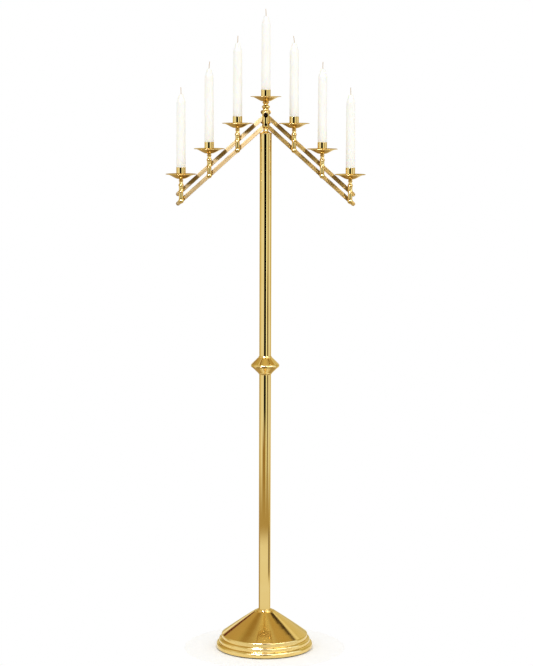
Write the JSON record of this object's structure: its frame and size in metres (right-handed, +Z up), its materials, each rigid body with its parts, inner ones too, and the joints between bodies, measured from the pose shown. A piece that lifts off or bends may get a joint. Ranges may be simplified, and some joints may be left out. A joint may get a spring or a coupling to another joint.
{
  "type": "floor candelabrum",
  "caption": "Floor-standing brass candelabrum: stepped cone base, tube column with knot, and folding parallelogram arms that keep their candle holders upright.",
  "frame": {"origin": "centre of the base on the floor plane, under the column", "axes": "+Z up along the column; the arms fold in the XZ plane; +Y is the rear, where the bars run behind the posts"},
  "size_m": [0.5356, 0.263, 1.7345],
  "materials": {
    "base_brass": "spun and mirror polished, clear lacquer",
    "tube_brass": "drawn tube, mirror polished, clear lacquer",
    "knot_brass": "turned and mirror polished, clear lacquer",
    "turned_brass": "turned and polished, clear lacquer",
    "bar_brass": "flat bar, long-grained satin polish with eased edges",
    "pan_brass": "spun and polished, clear lacquer",
    "socket_brass": "turned and polished, clear lacquer",
    "screw_brass": "turned brass, slightly darkened",
    "iron": "rough casting, painted black",
    "steel": "bright zinc plate",
    "felt": "dense green felt",
    "wax": "smooth white wax with a soft sheen",
    "wick": "braided cotton, unburnt"
  },
  "bodies": {
    "stand": {"base_shell": "base_brass", "base_collar": "base_brass", "base_weight": "iron", "base_plate": "steel", "base_screws": "steel", "base_pad": "felt", "tie_rod": "steel", "tie_rod_nut": "steel", "lower_tube": "tube_brass", "knot": "knot_brass", "upper_tube": "tube_brass", "hub": "turned_brass", "lower_pivot_bolt": "screw_brass", "pivot_nuts": "screw_brass", "hub_washers": "screw_brass", "centre_pan": "pan_brass", "centre_socket": "socket_brass"},
    "clamp_screw": {"clamp_screw": "screw_brass"},
    "centre_candle": {"centre_candle": "wax", "centre_wick": "wick"},
    "left_upper_arm": {"left_upper_bar": "bar_brass"},
    "left_lower_arm": {"left_lower_bar": "bar_brass"},
    "left_inner_holder": {"left_inner_post": "turned_brass", "left_inner_pan": "pan_brass", "left_inner_socket": "socket_brass", "left_inner_pivots": "screw_brass"},
    "left_inner_candle": {"left_inner_candle": "wax", "left_inner_wick": "wick"},
    "left_middle_holder": {"left_middle_post": "turned_brass", "left_middle_pan": "pan_brass", "left_middle_socket": "socket_brass", "left_middle_pivots": "screw_brass"},
    "left_middle_candle": {"left_middle_candle": "wax", "left_middle_wick": "wick"},
    "left_outer_holder": {"left_outer_post": "turned_brass", "left_outer_pan": "pan_brass", "left_outer_socket": "socket_brass", "left_outer_pivots": "screw_brass"},
    "left_outer_candle": {"left_outer_candle": "wax", "left_outer_wick": "wick"},
    "right_upper_arm": {"right_upper_bar": "bar_brass"},
    "right_lower_arm": {"right_lower_bar": "bar_brass"},
    "right_inner_holder": {"right_inner_post": "turned_brass", "right_inner_pan": "pan_brass", "right_inner_socket": "socket_brass", "right_inner_pivots": "screw_brass"},
    "right_inner_candle": {"right_inner_candle": "wax", "right_inner_wick": "wick"},
    "right_middle_holder": {"right_middle_post": "turned_brass", "right_middle_pan": "pan_brass", "right_middle_socket": "socket_brass", "right_middle_pivots": "screw_brass"},
    "right_middle_candle": {"right_middle_candle": "wax", "right_middle_wick": "wick"},
    "right_outer_holder": {"right_outer_post": "turned_brass", "right_outer_pan": "pan_brass", "right_outer_socket": "socket_brass", "right_outer_pivots": "screw_brass"},
    "right_outer_candle": {"right_outer_candle": "wax", "right_outer_wick": "wick"}
  },
  "joints": [
    {"name": "clamp_turn", "type": "hinge", "parent": "stand", "child": "clamp_screw", "pos_m": [0, 0, 1.454], "axis": [0, -1, 0], "range_deg": [0, 360]},
    {"name": "left_arm_swing", "type": "hinge", "parent": "stand", "child": "left_upper_arm", "pos_m": [0, 0, 1.454], "axis": [0, 1, 0], "range_deg": [0, 84]},
    {"name": "left_lower_bar_swing", "type": "hinge", "parent": "stand", "child": "left_lower_arm", "pos_m": [0, 0, 1.4286], "axis": [0, 1, 0], "range_deg": [0, 84]},
    {"name": "left_inner_holder_turn", "type": "hinge", "parent": "left_upper_arm", "child": "left_inner_holder", "pos_m": [-0.0755, 0, 1.38602], "axis": [0, 1, 0], "range_deg": [-84, 0]},
    {"name": "left_middle_holder_turn", "type": "hinge", "parent": "left_upper_arm", "child": "left_middle_holder", "pos_m": [-0.15101, 0, 1.31803], "axis": [0, 1, 0], "range_deg": [-84, 0]},
    {"name": "left_outer_holder_turn", "type": "hinge", "parent": "left_upper_arm", "child": "left_outer_holder", "pos_m": [-0.22651, 0, 1.25005], "axis": [0, 1, 0], "range_deg": [-84, 0]},
    {"name": "right_arm_swing", "type": "hinge", "parent": "stand", "child": "right_upper_arm", "pos_m": [0, 0, 1.454], "axis": [0, -1, 0], "range_deg": [0, 84]},
    {"name": "right_lower_bar_swing", "type": "hinge", "parent": "stand", "child": "right_lower_arm", "pos_m": [0, 0, 1.4286], "axis": [0, -1, 0], "range_deg": [0, 84]},
    {"name": "right_inner_holder_turn", "type": "hinge", "parent": "right_upper_arm", "child": "right_inner_holder", "pos_m": [0.0755, 0, 1.38602], "axis": [0, -1, 0], "range_deg": [-84, 0]},
    {"name": "right_middle_holder_turn", "type": "hinge", "parent": "right_upper_arm", "child": "right_middle_holder", "pos_m": [0.15101, 0, 1.31803], "axis": [0, -1, 0], "range_deg": [-84, 0]},
    {"name": "right_outer_holder_turn", "type": "hinge", "parent": "right_upper_arm", "child": "right_outer_holder", "pos_m": [0.22651, 0, 1.25005], "axis": [0, -1, 0], "range_deg": [-84, 0]},
    {"name": "centre_candle_lift", "type": "slide", "parent": "stand", "child": "centre_candle", "axis": [0, 0, 1], "range_m": [0, 0.06]},
    {"name": "left_inner_candle_lift", "type": "slide", "parent": "left_inner_holder", "child": "left_inner_candle", "axis": [0, 0, 1], "range_m": [0, 0.06]},
    {"name": "left_middle_candle_lift", "type": "slide", "parent": "left_middle_holder", "child": "left_middle_candle", "axis": [0, 0, 1], "range_m": [0, 0.06]},
    {"name": "left_outer_candle_lift", "type": "slide", "parent": "left_outer_holder", "child": "left_outer_candle", "axis": [0, 0, 1], "range_m": [0, 0.06]},
    {"name": "right_inner_candle_lift", "type": "slide", "parent": "right_inner_holder", "child": "right_inner_candle", "axis": [0, 0, 1], "range_m": [0, 0.06]},
    {"name": "right_middle_candle_lift", "type": "slide", "parent": "right_middle_holder", "child": "right_middle_candle", "axis": [0, 0, 1], "range_m": [0, 0.06]},
    {"name": "right_outer_candle_lift", "type": "slide", "parent": "right_outer_holder", "child": "right_outer_candle", "axis": [0, 0, 1], "range_m": [0, 0.06]}
  ],
  "couplings": [
    {"joint": "left_lower_bar_swing", "follows": "left_arm_swing", "ratio": 1},
    {"joint": "left_inner_holder_turn", "follows": "left_arm_swing", "ratio": -1},
    {"joint": "left_middle_holder_turn", "follows": "left_arm_swing", "ratio": -1},
    {"joint": "left_outer_holder_turn", "follows": "left_arm_swing", "ratio": -1},
    {"joint": "right_lower_bar_swing", "follows": "right_arm_swing", "ratio": 1},
    {"joint": "right_inner_holder_turn", "follows": "right_arm_swing", "ratio": -1},
    {"joint": "right_middle_holder_turn", "follows": "right_arm_swing", "ratio": -1},
    {"joint": "right_outer_holder_turn", "follows": "right_arm_swing", "ratio": -1}
  ]
}
